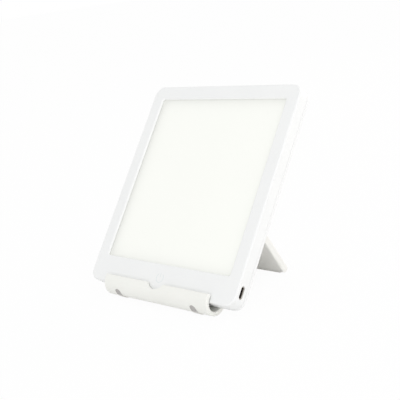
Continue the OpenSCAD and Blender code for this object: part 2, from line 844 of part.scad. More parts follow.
module hinge_pin() {
    half = cradle_w / 2 - cradle_edge_r - cap_t - cap_gap;
    color(steel) place() translate([-half, hinge_y, hinge_z]) rotate([0, 90, 0])
        cylinder(r = pin_r, h = 2 * half);
}

module pin_cap(s) {
    end_x = cradle_w / 2 - cradle_edge_r;
    color(white_stand) place()
        translate([s > 0 ? end_x - cap_t : -end_x, hinge_y, hinge_z]) rotate([0, 90, 0])
            cylinder(r = cap_r, h = cap_t);
}

module pin_cap_left() { pin_cap(-1); }
module pin_cap_right() { pin_cap(1); }

module hinge_washers() {
    color(metal) place() for (x = [leg_w / 2, middle_x], s = [-1, 1])
        translate([s * (x + knuckle_gap / 2), hinge_y, hinge_z]) rotate([0, 90, 0])
            difference() {
                cylinder(r = washer_r, h = washer_t, center = true);
                cylinder(r = pin_r + pin_gap, h = washer_t + cut, center = true);
            }
}

// ---- leg ----

// The leg's side view in its own frame, from the pin to the round foot
module leg_side() {
    translate([toe_y, -leg_t / 2]) square([-toe_y, leg_t]);
    translate([-leg_l, -toe_z]) square([leg_end_r + cut / 4, 2 * toe_z]);
    for (s = [-1, 1]) translate([toe_y, s * toe_z]) circle(leg_end_r);
}

module leg_blank() {
    intersection() {
        translate([0, cut / 2 - leg_l - cut, 0]) rotate([-90, 0, 0])
            linear_extrude(leg_l + cut / 2) wall_section(leg_w, leg_t, leg_edge_r);
        bar_x(-leg_w, leg_w) leg_side();
    }
}

// A rubber strip in the foot, gap bigger all round and out to the given reach from the middle
// of the rounding. It points straight at the floor when the stand is open
module tread(s, gap, reach) {
    x0 = s * tread_x - tread_l / 2 - gap;
    bar_x(x0, x0 + tread_l + 2 * gap) translate([toe_y, toe_z]) rotate(270 - leg_turn)
        translate([-tread_sink - gap, -tread_t / 2 - gap])
            square([tread_sink + gap + reach, tread_t + 2 * gap]);
}

module prop_leg() {
    clear_r = knuckle_r + knuckle_room;
    color(white_stand) place() leg_place() difference() {
        union() {
            leg_blank();
            for (x0 = [-leg_w / 2, barrel_x])
                bar_x(x0, x0 + leg_w / 2 - barrel_x) circle(barrel_r);
            // Heels that meet the back plate and stop the leg when it is open
            rotate([-leg_open, 0, 0]) for (x0 = [heel_x, -heel_x - heel_w])
                translate([x0, 0, 0]) cube([heel_w, barrel_r, hinge_drop - heel_gap]);
        }
        // Room for the cradle's middle knuckle
        bar_x(-barrel_x, barrel_x) circle(clear_r);
        translate([-barrel_x, -clear_r + cut / 4, -leg_t])
            cube([2 * barrel_x, 2 * clear_r, 2 * leg_t]);
        translate([-leg_w, 0, 0]) rotate([0, 90, 0]) cylinder(r = pin_r + pin_gap, h = 2 * leg_w);
        // Slots for the rubber strips
        for (s = [-1, 1]) tread(s, tread_gap, leg_end_r + cut);
    }
}

module leg_foot(s) {
    color(rubber) place() leg_place() tread(s, 0, leg_end_r + tread_proud);
}

module leg_foot_left() { leg_foot(-1); }
module leg_foot_right() { leg_foot(1); }

// ---- nodes ----

front_bezel();
back_cover();
case_screws();
diffuser_tape();
diffuser_plate();
diffusion_film();
light_guide();
reflector_sheet();
back_pan();
panel_frame();
light_strip_left();
light_strip_right();
light_chips_left();
light_chips_right();
control_board();
board_components();
board_screws();
inlet_shell();
inlet_tongue();
touch_foil();
touch_spring();
strip_leads();
cradle();
rest_pads();
cradle_foot_left();
cradle_foot_right();
hinge_pin();
pin_cap_left();
pin_cap_right();
hinge_washers();
prop_leg();
leg_foot_left();
leg_foot_right();
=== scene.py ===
# %% [markdown]
# # A light therapy lamp in its folding stand
# A slim white panel leans in a J-shaped cradle, and a prop leg behind holds the two up. Its
# construction is finished: every part comes packed at its real size, and this script adds the
# looks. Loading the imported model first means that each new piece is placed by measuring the
# parts that carry it, and never by eye.

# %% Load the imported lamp
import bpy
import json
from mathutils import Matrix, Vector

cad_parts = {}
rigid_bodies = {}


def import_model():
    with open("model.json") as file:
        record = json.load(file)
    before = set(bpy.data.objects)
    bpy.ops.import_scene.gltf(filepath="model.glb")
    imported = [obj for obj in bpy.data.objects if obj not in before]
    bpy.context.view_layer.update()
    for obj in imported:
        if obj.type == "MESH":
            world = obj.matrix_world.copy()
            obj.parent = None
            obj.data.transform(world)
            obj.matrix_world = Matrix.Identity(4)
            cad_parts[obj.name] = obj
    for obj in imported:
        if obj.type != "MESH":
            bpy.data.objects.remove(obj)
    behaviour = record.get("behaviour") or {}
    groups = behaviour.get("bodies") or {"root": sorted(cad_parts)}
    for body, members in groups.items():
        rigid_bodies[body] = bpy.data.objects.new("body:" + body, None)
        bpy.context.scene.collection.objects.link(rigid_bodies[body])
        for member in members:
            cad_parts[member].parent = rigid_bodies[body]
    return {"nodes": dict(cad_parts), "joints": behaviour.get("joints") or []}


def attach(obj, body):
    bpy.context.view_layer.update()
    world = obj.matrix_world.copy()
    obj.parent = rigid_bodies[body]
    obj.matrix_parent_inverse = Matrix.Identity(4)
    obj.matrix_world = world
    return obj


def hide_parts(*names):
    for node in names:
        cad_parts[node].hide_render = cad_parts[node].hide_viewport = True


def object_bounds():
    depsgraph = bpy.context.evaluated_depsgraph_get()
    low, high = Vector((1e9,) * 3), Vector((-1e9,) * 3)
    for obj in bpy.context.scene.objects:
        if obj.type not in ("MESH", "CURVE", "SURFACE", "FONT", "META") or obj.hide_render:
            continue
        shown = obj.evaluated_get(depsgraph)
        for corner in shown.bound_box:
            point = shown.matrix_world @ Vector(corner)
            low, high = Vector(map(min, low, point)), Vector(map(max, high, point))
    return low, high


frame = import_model()
cad_lowest, cad_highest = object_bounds()

# %% Modules and the unit
import json
import math

import bmesh
import bpy
from mathutils import Matrix, Vector
from mathutils.bvhtree import BVHTree

MM = 0.001
whole_size = cad_highest - cad_lowest
print("the whole lamp in mm:", [round(side / MM, 1) for side in whole_size])

# %% [markdown]
# ## The lamp's own frame
# The panel leans back, so heights and depths on it are awkward in room coordinates. The slide
# that lifts the lamp out of its cradle runs straight up the panel, so its axis gives the lean.
# Together with the front shell's lowest edge and its foremost face it fixes a frame in which x
# runs to the right, y up the panel and z out of its face. Everything on the lamp is drawn there.

# %% Find the lean, the lower edge and the front face
joints = {joint["name"]: joint for joint in frame["joints"]}
right = Vector((1, 0, 0))
up_panel = Vector(joints["lamp_lift"]["axis"]).normalized()
out_of_face = right.cross(up_panel)


def corners_of(node):
    """Every mesh point of one part, in metres."""
    return [vertex.co for vertex in frame["nodes"][node].data.vertices]


lower_edge = min(point.dot(up_panel) for point in corners_of("front_bezel"))
front_face = max(point.dot(out_of_face) for point in corners_of("front_bezel"))
lean = math.atan2(up_panel.y, up_panel.z)
print("lean in degrees:", round(math.degrees(lean), 2))

# %% The matrix from the lamp's frame to the room
lamp_to_room = Matrix((right, up_panel, out_of_face)).transposed().to_4x4()
lamp_to_room.translation = up_panel * lower_edge + out_of_face * front_face
room_to_lamp = lamp_to_room.inverted()


def lamp_box(node):
    """Lowest and highest corner of a part, measured in the lamp's frame."""
    points = [room_to_lamp @ point for point in corners_of(node)]
    lowest = Vector([min(point[axis] for point in points) for axis in range(3)])
    highest = Vector([max(point[axis] for point in points) for axis in range(3)])
    return lowest, highest


case_low, case_high = lamp_box("front_bezel")
print("front shell in mm:", [round(side / MM, 1) for side in case_high - case_low])

# %% [markdown]
# ## The camera
# A product photograph is taken from a distance with a longish lens, which keeps the panel's
# sides nearly parallel. The camera's place here was worked out from the four corners of the
# panel. It stands to the right and a little above, so the front edge runs downhill in the
# picture. The camera is also rolled by eight degrees, and without that the edge would run down
# more steeply. Its aim is a point of the lamp's own frame, so the lamp stays in the middle of
# the picture whatever stands under it.

# %% Camera values
CAMERA_AZIMUTH = math.radians(45.055)
CAMERA_ELEVATION = math.radians(14.223)
CAMERA_ROLL = math.radians(-8.054)
CAMERA_DISTANCE = 657.03 * MM
AIM_ON_LAMP = Vector((3.16, 77.85, -10.91)) * MM
LENS_MM = 77.22
SENSOR_WIDTH_MM = 36.0

# %% Place the camera
camera_target = lamp_to_room @ AIM_ON_LAMP
camera_data = bpy.data.cameras.new("camera")
camera_data.lens = LENS_MM
camera_data.sensor_width = SENSOR_WIDTH_MM
camera = bpy.data.objects.new("camera", camera_data)
bpy.context.scene.collection.objects.link(camera)
towards_camera = Vector((math.cos(CAMERA_ELEVATION) * math.sin(CAMERA_AZIMUTH),
                         -math.cos(CAMERA_ELEVATION) * math.cos(CAMERA_AZIMUTH),
                         math.sin(CAMERA_ELEVATION)))
aim = (-towards_camera).to_track_quat("-Z", "Y").to_matrix().to_4x4()
camera.matrix_world = (Matrix.Translation(camera_target + towards_camera * CAMERA_DISTANCE)
                       @ aim @ Matrix.Rotation(CAMERA_ROLL, 4, "Z"))
bpy.context.scene.camera = camera
print("camera at", [round(value / MM) for value in camera.matrix_world.translation], "mm")

# %% [markdown]
# ## Node helpers
# Every finish below is a small node tree. A few helpers keep those trees readable: one starts a
# material, one adds a node and sets its inputs, and the others make the patterns that most
# finishes share. Sizes of patterns are given in millimetres, as one would measure them with a
# loupe on the real surface.

# %% Start a material and add nodes to it
def start_material(name):
    """A new node material, with its tree and its main shader."""
    material = bpy.data.materials.new(name)
    material.use_nodes = True
    return material, material.node_tree, material.node_tree.nodes["Principled BSDF"]


def add_node(tree, kind, inputs=None, **settings):
    """One node. Inputs holds numbers, colours or sockets, by the input's name or number."""
    made = tree.nodes.new("ShaderNode" + kind)
    for name, value in settings.items():
        setattr(made, name, value)
    for name, value in (inputs or {}).items():
        if isinstance(value, bpy.types.NodeSocket):
            tree.links.new(value, made.inputs[name])
        else:
            made.inputs[name].default_value = value
    return made


def set_shader(shader, **values):
    """Plain numbers and colours, set on the shader itself."""
    for name, value in values.items():
        shader.inputs[name.replace("_", " ")].default_value = value


# %% Coordinates: the room's, or turned into the lamp's frame
def object_coordinates(tree):
    """Points on the surface in metres. No part is turned or scaled, so they never slide."""
    return add_node(tree, "TexCoord").outputs["Object"]


def lamp_coordinates(tree):
    """The same points, counted in the lamp's frame."""
    turned = add_node(tree, "Mapping", {"Vector": object_coordinates(tree),
                                        "Rotation": room_to_lamp.to_euler(),
                                        "Location": room_to_lamp.translation},
                      vector_type="POINT")
    return turned.outputs["Vector"]


def lamp_point(tree):
    """The outputs X, Y and Z of a node that takes the lamp's coordinates apart."""
    return add_node(tree, "SeparateXYZ", {0: lamp_coordinates(tree)}).outputs


# %% Patterns that the finishes share
# Most of a noise lies between the first two values. Between the next two its patches change
# tone more abruptly.
NOISE_LOW, NOISE_HIGH = 0.3, 0.7
TONE_LOW, TONE_HIGH = 0.35, 0.65


def mottle(tree, coordinates, grain_mm, detail=2.0):
    """Cloudy noise from 0 to 1, whose patches are about grain_mm across."""
    made = add_node(tree, "TexNoise", {"Vector": coordinates, "Scale": 1 / (grain_mm * MM),
                                       "Detail": detail})
    return made.outputs["Fac"]


def spread(tree, value, low, high, out_low, out_high, smooth=False):
    """Carries values between low and high over to values between out_low and out_high."""
    made = add_node(tree, "MapRange", {"Value": value, "From Min": low, "From Max": high,
                                       "To Min": out_low, "To Max": out_high})
    made.interpolation_type = "SMOOTHSTEP" if smooth else "LINEAR"
    return made.outputs["Result"]


# %% Mixing, sums and relief
# A Mix node has one set of sockets for each kind of data. These are the numbers of its colours.
MIX_FIRST, MIX_SECOND, MIX_RESULT = 6, 7, 2


def blend_colours(tree, factor, first, second):
    """A colour between two others."""
    made = add_node(tree, "Mix", {"Factor": factor, MIX_FIRST: first, MIX_SECOND: second},
                    data_type="RGBA")
    return made.outputs[MIX_RESULT]


def calculate(tree, operation, first, second=0.0):
    """One sum on numbers."""
    return add_node(tree, "Math", {0: first, 1: second}, operation=operation).outputs[0]


def relief(tree, shader, height, depth_mm, strength=1.0):
    """Bends the surface's shading as if the pattern stood depth_mm high."""
    made = add_node(tree, "Bump", {"Height": height, "Distance": depth_mm * MM,
                                   "Strength": strength})
    tree.links.new(made.outputs["Normal"], shader.inputs["Normal"])


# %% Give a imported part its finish
def dress(node, material):
    """Takes a part's old material off and puts the new one on."""
    part = frame["nodes"][node]
    part.data.materials.clear()
    part.data.materials.append(material)


print("parts to dress:", len(frame["nodes"]))

# %% [markdown]
# ## Moulded plastic
# The lamp's shells and the stand are injection moulded. The mould leaves a fine spark-eroded
# grain, a fraction of a millimetre across, and the plastic cools unevenly, so its gloss and tone
# drift over a few centimetres. One fine noise gives the grain and a much wider one the drift.
# The edges are handled most, and there the grain is polished: a bevel node finds them by
# comparing the normal of a slightly rounded surface with the true one.

# %% Find the edges of a part
EDGE_SAMPLES = 6
ALIKE_ON_FLATS = 0.995
ALIKE_ON_EDGES = 0.8


def edge_mask(tree, radius_mm):
    """0 on open surfaces, rising to 1 along edges about radius_mm wide."""
    rounded = add_node(tree, "Bevel", {"Radius": radius_mm * MM}, samples=EDGE_SAMPLES)
    true_normal = add_node(tree, "NewGeometry").outputs["Normal"]
    alike = add_node(tree, "VectorMath", {0: rounded.outputs["Normal"], 1: true_normal},
                     operation="DOT_PRODUCT")
    return spread(tree, alike.outputs["Value"], ALIKE_ON_FLATS, ALIKE_ON_EDGES, 0, 1,
                  smooth=True)


# %% Moulded plastic, in any colour
PLASTIC_IOR = 1.49
DRIFT_MM = 38
EDGE_MM = 0.7
SMOOTHER, ROUGHER = 0.03, 0.04
GRAIN_STRENGTH = 0.6


def moulded_plastic(name, colour, deeper, roughness, grain_mm, grain_depth_mm, polish):
    """White or coloured plastic with its mould grain, drifting gloss and polished edges."""
    material, tree, shader = start_material(name)
    points = object_coordinates(tree)
    drift = mottle(tree, points, DRIFT_MM, detail=1.0)
    tone = spread(tree, drift, TONE_LOW, TONE_HIGH, 0, 1, smooth=True)
    tree.links.new(blend_colours(tree, tone, colour, deeper), shader.inputs["Base Color"])
    uneven = spread(tree, drift, NOISE_LOW, NOISE_HIGH, roughness - SMOOTHER,
                    roughness + ROUGHER)
    smoothed = calculate(tree, "MULTIPLY", edge_mask(tree, EDGE_MM), polish)
    tree.links.new(calculate(tree, "SUBTRACT", uneven, smoothed), shader.inputs["Roughness"])
    relief(tree, shader, mottle(tree, points, grain_mm), grain_depth_mm, GRAIN_STRENGTH)
    set_shader(shader, IOR=PLASTIC_IOR)
    return material


# %% The white of the lamp and the warmer white of the stand
CASE_LOOK = {"colour": (0.88, 0.888, 0.885, 1), "deeper": (0.87, 0.878, 0.876, 1),
             "roughness": 0.48, "grain_mm": 0.3, "grain_depth_mm": 0.012, "polish": 0.05}
STAND_LOOK = {"colour": (0.89, 0.893, 0.855, 1), "deeper": (0.878, 0.88, 0.84, 1),
              "roughness": 0.46, "grain_mm": 0.42, "grain_depth_mm": 0.02, "polish": 0.12}
LEG_LOOK = {**STAND_LOOK, "colour": (0.876, 0.876, 0.845, 1),
            "deeper": (0.866, 0.864, 0.832, 1), "roughness": 0.5}
case_plastic = moulded_plastic("case_white", **CASE_LOOK)
stand_plastic = moulded_plastic("stand_white", **STAND_LOOK)
leg_plastic = moulded_plastic("leg_white", **LEG_LOOK)
for node, plastic in (("back_cover", case_plastic), ("panel_frame", case_plastic),
                      ("pin_cap_left", stand_plastic), ("pin_cap_right", stand_plastic),
                      ("prop_leg", leg_plastic)):
    dress(node, plastic)
print("plastics:", [made.name for made in (case_plastic, stand_plastic, leg_plastic)])

# %% [markdown]
# ## The dark line where the lip meets the lamp
# Between the cradle's lip and the face of the lamp is a crack a fraction of a millimetre wide.
# Little light gets into it, so it shows as a thin dark line. The crack could be opened wider,
# but then the lamp would no longer sit in its cradle. So that shade is painted instead: the
# plastic of the lip gets darker over the first part of a millimetre in front of the lamp's face.

# %% Plastic with a line of painted shade
# Painted shade in the crack: where it is darkest, where it has faded out, and its colour.
CRACK_SHADE_NEAR, CRACK_SHADE_FAR = 0.3 * MM, 0.75 * MM
CRACK_SHADE_COLOUR = (0.3, 0.3, 0.29, 1)


def cradle_plastic():
    """The stand's white, with painted shade in the crack between the lip and the face of the
    lamp.
    """
    material = moulded_plastic("cradle_white", **STAND_LOOK)
    tree = material.node_tree
    base_colour = tree.nodes["Principled BSDF"].inputs["Base Color"]
    point = lamp_point(tree)
    near = spread(tree, point["Z"], CRACK_SHADE_NEAR, CRACK_SHADE_FAR, 1, 0, smooth=True)
    in_front = calculate(tree, "GREATER_THAN", point["Z"], 0.0)
    above_edge = calculate(tree, "GREATER_THAN", point["Y"], 0.0)
    # Painted shade: close to the lamp's face, in front of it and above its lower edge.
    crack_shade = calculate(tree, "MULTIPLY", calculate(tree, "MULTIPLY", near, in_front), above_edge)
    plain_white = base_colour.links[0].from_socket
    tree.links.new(blend_colours(tree, crack_shade, plain_white, CRACK_SHADE_COLOUR), base_colour)
    return material


dress("cradle", cradle_plastic())
print("plastic on", [part.name for part in frame["nodes"].values() if part.active_material])

# %% [markdown]
# ## The glowing window
# Behind the frame lies an opal acrylic plate, lit from both sides through a light guide. It is
# nearly even, but in the last few millimetres before the frame it falls off, most along the left
# and the top. Part of that fall-off is painted shade: the dark corner where the plate meets the
# wall of the frame is put into the plate's glow. The plate could get a picture of that gradient,
# but a formula in the plate's own frame stays sharp at any size: along each side the glow loses
# an amount that dies away exponentially with the distance from that side. The window's sides are
# found by shooting rays from the middle of the opening at the frame around it.

# %% Measure the window
WINDOW_WALL_DEPTH = 1.5 * MM
plate_low, plate_high = lamp_box("diffuser_plate")
middle = (plate_low + plate_high) / 2
middle.z = -WINDOW_WALL_DEPTH
frame_surface = BVHTree.FromObject(frame["nodes"]["front_bezel"],
                                   bpy.context.evaluated_depsgraph_get())


def distance_to_frame(direction):
    """From the middle of the window to the frame, in one direction of the panel."""
    return frame_surface.ray_cast(lamp_to_room @ middle, direction)[3]


window_low = Vector((middle.x - distance_to_frame(-right),
                     middle.y - distance_to_frame(-up_panel)))
window_high = Vector((middle.x + distance_to_frame(right),
                      middle.y + distance_to_frame(up_panel)))
print("window in mm:", [round(side / MM, 2) for side in window_high - window_low])

# %% [markdown]
# ## The front shell
# Where the front steps down to the window, the lit plate shines through the thin wall and on to
# it, so the step is never as dark as its slope would be. That could be left to the traced light,
# but the plate's own glow is weak beside the studio's. A faint emission in the step stands in
# for it. On the left, where the plate is dimmest, it stops at the wall of the window.

# %% Plastic that glows faintly in the step to the window
GLOW_COLOUR = (0.975, 1.0, 0.93, 1)
STEP_WIDTH = 1.4 * MM
STEP_TOP, STEP_FOOT = -0.3 * MM, -1.0 * MM
STEP_GLOW = 0.1
LEFT_DIM = 0.4 * MM


def front_plastic():
    """The case's white, with a faint glow round the window."""
    material = moulded_plastic("front_white", **CASE_LOOK)
    tree = material.node_tree
    point = lamp_point(tree)
    glow = spread(tree, point["Z"], STEP_TOP, STEP_FOOT, 0, STEP_GLOW, smooth=True)
    for axis, low, high in (("X", window_low.x, window_high.x),
                            ("Y", window_low.y, window_high.y)):
        for test, edge in (("GREATER_THAN", low - STEP_WIDTH),
                           ("LESS_THAN", high + STEP_WIDTH)):
            inside = calculate(tree, test, point[axis], edge)
            glow = calculate(tree, "MULTIPLY", glow, inside)
    past_left = spread(tree, point["X"], window_low.x - LEFT_DIM, window_low.x + LEFT_DIM, 0, 1)
    glow = calculate(tree, "MULTIPLY", glow, past_left)
    shader = tree.nodes["Principled BSDF"]
    set_shader(shader, Emission_Color=GLOW_COLOUR)
    tree.links.new(glow, shader.inputs["Emission Strength"])
    return material


dress("front_bezel", front_plastic())
print("glowing step in mm:", round(STEP_WIDTH / MM, 2))

# %% [markdown]
# ## The opal plate
# Opal acrylic is milky all through and has a matt face, so nothing behind it can be made out.
# The glow comes from the material itself, because the light sources behind the plate are sealed
# in the case: its strength is the full glow less what each side takes away.

# %% How much glow is lost along each side, and how far in that reaches
GLOW = 0.212
LEAST_GLOW = 0.08
# Part of what each side takes away is painted shade, in the dark corner at the frame's wall.
# For each side: its axis, its place, the way in, the glow lost at it, and its fade in mm
FALL_OFF_AND_CORNER_SHADE = (("X", window_low.x, 1, 0.19, 3.5), ("X", window_high.x, -1, 0.03, 2.6),
            ("Y", window_low.y, 1, 0.095, 3.8), ("Y", window_high.y, -1, 0.14, 3.6))


def glow_level(tree):
    """Strength of the glow: the full one, less what each side of the window takes away."""
    point = lamp_point(tree)
    level = GLOW
    for axis, side, inwards, most_lost, fade_mm in FALL_OFF_AND_CORNER_SHADE:
        beyond = calculate(tree, "SUBTRACT", point[axis], side)
        depth = calculate(tree, "MULTIPLY", beyond, -inwards / (fade_mm * MM))
        lost = calculate(tree, "MULTIPLY", calculate(tree, "EXPONENT", depth), most_lost)
        level = calculate(tree, "SUBTRACT", level, lost)
    return calculate(tree, "MAXIMUM", level, LEAST_GLOW)


# %% Opal acrylic
OPAL_COLOUR = (0.745, 0.75, 0.72, 1)
CLOUD_MM = 55
CLOUD_LOW, CLOUD_HIGH = 0.985, 1.015
MATT_MM, MATT_DEPTH_MM, MATT_STRENGTH = 0.22, 0.006, 0.5


def opal_acrylic():
    """Matt and milky, and lit from within."""
    material, tree, shader = start_material("opal_diffuser")
    set_shader(shader, Base_Color=OPAL_COLOUR, Emission_Color=GLOW_COLOUR, Roughness=0.55,
               IOR=PLASTIC_IOR)
    points = object_coordinates(tree)
    cloud = spread(tree, mottle(tree, points, CLOUD_MM, detail=1.0), NOISE_LOW, NOISE_HIGH,
                   CLOUD_LOW, CLOUD_HIGH)
    level = calculate(tree, "MULTIPLY", glow_level(tree), cloud)
    tree.links.new(level, shader.inputs["Emission Strength"])
    relief(tree, shader, mottle(tree, points, MATT_MM, detail=1.0), MATT_DEPTH_MM,
           MATT_STRENGTH)
    return material


dress("diffuser_plate", opal_acrylic())
print("glow, full and least:", GLOW, LEAST_GLOW)

# %% [markdown]
# ## Rubber
# The feet, the strips in the leg's foot and the pads behind the lamp are grey silicone rubber. It
# is dull, has a very fine grain and picks up a little dust, which lightens it in patches. Near
# the table it is painted paler, as painted light thrown back from the floor, so its colour
# depends on the height. A sheen gives the dusty glow that rubber has at its rim.

# %% Grey rubber
RUBBER_GREY = (0.43, 0.415, 0.405, 1)
RUBBER_DUSTY = (0.5, 0.485, 0.475, 1)
FLOOR_LIGHT_PALE = (0.8, 0.79, 0.76, 1)
# Painted light from the floor: full below the first height, gone above the second.
PALE_BELOW, GREY_ABOVE = 2.6 * MM, 4.6 * MM
DUST_MM, DUST_LOW, DUST_HIGH = 6, 0.35, 0.7
RUBBER_SMOOTH, RUBBER_ROUGH = 0.62, 0.75
RUBBER_GRAIN_MM, RUBBER_GRAIN_DEPTH_MM = 0.25, 0.02


def grey_rubber():
    """Soft grey rubber with a fine grain and a dusty sheen, and painted floor light near the
    table.
    """
    material, tree, shader = start_material("rubber_grey")
    points = object_coordinates(tree)
    patches = mottle(tree, points, DUST_MM, detail=3.0)
    dusty = spread(tree, patches, DUST_LOW, DUST_HIGH, 0, 1)
    height = add_node(tree, "SeparateXYZ", {0: points}).outputs["Z"]
    painted_floor_light = spread(tree, height, PALE_BELOW, GREY_ABOVE, 1, 0, smooth=True)
    dusted = blend_colours(tree, dusty, RUBBER_GREY, RUBBER_DUSTY)
    tree.links.new(blend_colours(tree, painted_floor_light, dusted, FLOOR_LIGHT_PALE),
                   shader.inputs["Base Color"])
    tree.links.new(spread(tree, patches, NOISE_LOW, NOISE_HIGH, RUBBER_SMOOTH, RUBBER_ROUGH),
                   shader.inputs["Roughness"])
    relief(tree, shader, mottle(tree, points, RUBBER_GRAIN_MM), RUBBER_GRAIN_DEPTH_MM,
           GRAIN_STRENGTH)
    set_shader(shader, IOR=1.41, Sheen_Weight=0.12, Sheen_Roughness=0.5)
    return material


rubber = grey_rubber()
rubber_parts = ("cradle_foot_left", "cradle_foot_right", "rest_pads", "leg_foot_left",
                "leg_foot_right")
for node in rubber_parts:
    dress(node, rubber)
print("rubber on", len(rubber_parts), "parts")

# %% [markdown]
# ## Metals
# The screws and the hinge pin are plated steel, drawn or turned, so they carry fine scratches.
# The mouth of the inlet is thin plated sheet with a warm tint. All of them share one recipe: a
# fine noise stretched along one direction, which roughens the metal unevenly.

# %% Plated metal with drawn scratches
SCRATCH_STRETCH = 0.94
SCRATCH_SMOOTHER, SCRATCH_ROUGHER = 0.08, 0.1
SCRATCH_DEPTH_MM, SCRATCH_STRENGTH = 0.004, 0.5
STAIN_MM, STAIN_LOW, STAIN_HIGH = 3, 0.4, 0.75


def drawn_metal(name, colour, tarnish, roughness, along=Vector((1, 0, 0)), grain_mm=0.12):
    """Metal whose scratches run along one direction of the room."""
    material, tree, shader = start_material(name)
    points = object_coordinates(tree)
    squeeze = Vector((1, 1, 1)) - SCRATCH_STRETCH * Vector([abs(value) for value in along])
    squeezed = add_node(tree, "Mapping", {"Vector": points, "Scale": squeeze})
    scratches = mottle(tree, squeezed.outputs["Vector"], grain_mm)
    stains = spread(tree, mottle(tree, points, STAIN_MM, detail=3.0), STAIN_LOW, STAIN_HIGH,
                    0, 1)
    tree.links.new(blend_colours(tree, stains, colour, tarnish), shader.inputs["Base Color"])
    uneven = spread(tree, scratches, NOISE_LOW, NOISE_HIGH, roughness - SCRATCH_SMOOTHER,
                    roughness + SCRATCH_ROUGHER)
    tree.links.new(uneven, shader.inputs["Roughness"])
    relief(tree, shader, scratches, SCRATCH_DEPTH_MM, SCRATCH_STRENGTH)
    set_shader(shader, Metallic=1.0)
    return material


# %% Steel, copper and aluminium parts
screw_metal = drawn_metal("screw_steel", colour=(0.62, 0.62, 0.64, 1),
                          tarnish=(0.5, 0.5, 0.52, 1), roughness=0.3)
for node in ("case_screws", "board_screws", "hinge_pin"):
    dress(node, screw_metal)
dress("hinge_washers", drawn_metal("washer_steel", colour=(0.68, 0.68, 0.69, 1),
                                   tarnish=(0.55, 0.55, 0.56, 1), roughness=0.35,
                                   along=Vector((0, 1, 0))))
dress("touch_spring", drawn_metal("spring_steel", colour=(0.66, 0.66, 0.68, 1),
                                  tarnish=(0.52, 0.52, 0.55, 1), roughness=0.25,
                                  along=up_panel))
dress("touch_foil", drawn_metal("copper", colour=(0.8, 0.45, 0.28, 1),
                                tarnish=(0.6, 0.3, 0.18, 1), roughness=0.35))
dress("back_pan", drawn_metal("pan_aluminium", colour=(0.78, 0.79, 0.8, 1),
                              tarnish=(0.7, 0.71, 0.73, 1), roughness=0.38, along=up_panel,
                              grain_mm=0.3))
print("materials so far:", len(bpy.data.materials))

# %% [markdown]
# ## The mouth of the inlet
# The inlet is a drawn metal tube, pale where its rim catches the light and almost black a
# millimetre further in, because no light comes back out of so narrow a slot. Traced light gets
# that nearly right, but the bright plating would still mirror the white studio, so that shade is
# painted: the plating turns dark and less metallic with the distance from the rim.

# %% Plating with painted shade inwards
INLET_RIM_DEPTH = 0.5 * MM
INLET_DARK_DEPTH = 1.1 * MM
INLET_PAINTED_SHADE = (0.012, 0.011, 0.01, 1)
METALLIC_AT_RIM, METALLIC_INSIDE = 1.0, 0.2
inlet_rim = max(point.x for point in corners_of("inlet_shell"))


def inlet_plating():
    """Warm plated metal at the rim, with painted shade, dark and dull, deeper in."""
    material = drawn_metal("inlet_metal", colour=(0.72, 0.67, 0.6, 1),
                           tarnish=(0.6, 0.54, 0.46, 1), roughness=0.4)
    tree = material.node_tree
    shader = tree.nodes["Principled BSDF"]
    across = add_node(tree, "SeparateXYZ", {0: object_coordinates(tree)}).outputs["X"]
    # Painted shade: 0 at the rim, rising to 1 a little more than a millimetre in.
    inlet_shade = spread(tree, across, inlet_rim - INLET_RIM_DEPTH, inlet_rim - INLET_DARK_DEPTH, 0, 1,
                  smooth=True)
    plating = shader.inputs["Base Color"].links[0].from_socket
    tree.links.new(blend_colours(tree, inlet_shade, plating, INLET_PAINTED_SHADE), shader.inputs["Base Color"])
    tree.links.new(spread(tree, inlet_shade, 0, 1, METALLIC_AT_RIM, METALLIC_INSIDE),
                   shader.inputs["Metallic"])
    return material


dress("inlet_shell", inlet_plating())
print("inlet rim at x in mm:", round(inlet_rim / MM, 2))

# %% [markdown]
# ## Inside the case
# Apart from the inlet's tongue, nothing of these parts shows while the case is closed. But the
# lamp may be opened in another scene, so each gets its real finish: solder mask with copper
# tracks under it, moulded resin, white sheet, clear acrylic and wire insulation.

# %% Solder mask over copper tracks
TRACK_LOW, TRACK_HIGH = 0.38, 0.42
TRACK_DEPTH_MM = 0.03


def circuit_board(name, mask, over_copper, track_mm):
    """Mask whose tone rises where tracks run below it, with a shallow step beside them."""
    material, tree, shader = start_material(name)
    cells = add_node(tree, "TexVoronoi", {"Vector": lamp_coordinates(tree),
                                          "Scale": 1 / (track_mm * MM)},
                     feature="F1", distance="CHEBYCHEV")
    tracks = spread(tree, cells.outputs["Distance"], TRACK_LOW, TRACK_HIGH, 0, 1, smooth=True)
    tree.links.new(blend_colours(tree, tracks, mask, over_copper), shader.inputs["Base Color"])
    relief(tree, shader, tracks, TRACK_DEPTH_MM)
    set_shader(shader, Roughness=0.32, IOR=1.5, Coat_Weight=0.3, Coat_Roughness=0.15)
    return material


# %% Sheets, resin, insulation and phosphor
SHEET_UNEVEN = 0.05
SHEET_DEPTH_MM, SHEET_STRENGTH = 0.01, 0.4


def plain_sheet(name, colour, roughness, grain_mm, second_tone=0.94, **shader_values):
    """A part in one colour with a fine grain. Its second tone is a multiple of the first."""
    material, tree, shader = start_material(name)
    grain = mottle(tree, object_coordinates(tree), grain_mm, detail=3.0)
    tone = spread(tree, grain, TONE_LOW, TONE_HIGH, 0, 1)
    shade = tuple(channel * second_tone for channel in colour)
    tree.links.new(blend_colours(tree, tone, (*colour, 1), (*shade, 1)),
                   shader.inputs["Base Color"])
    uneven = spread(tree, grain, NOISE_LOW, NOISE_HIGH, roughness - SHEET_UNEVEN,
                    roughness + SHEET_UNEVEN)
    tree.links.new(uneven, shader.inputs["Roughness"])
    relief(tree, shader, grain, SHEET_DEPTH_MM, SHEET_STRENGTH)
    set_shader(shader, **shader_values)
    return material


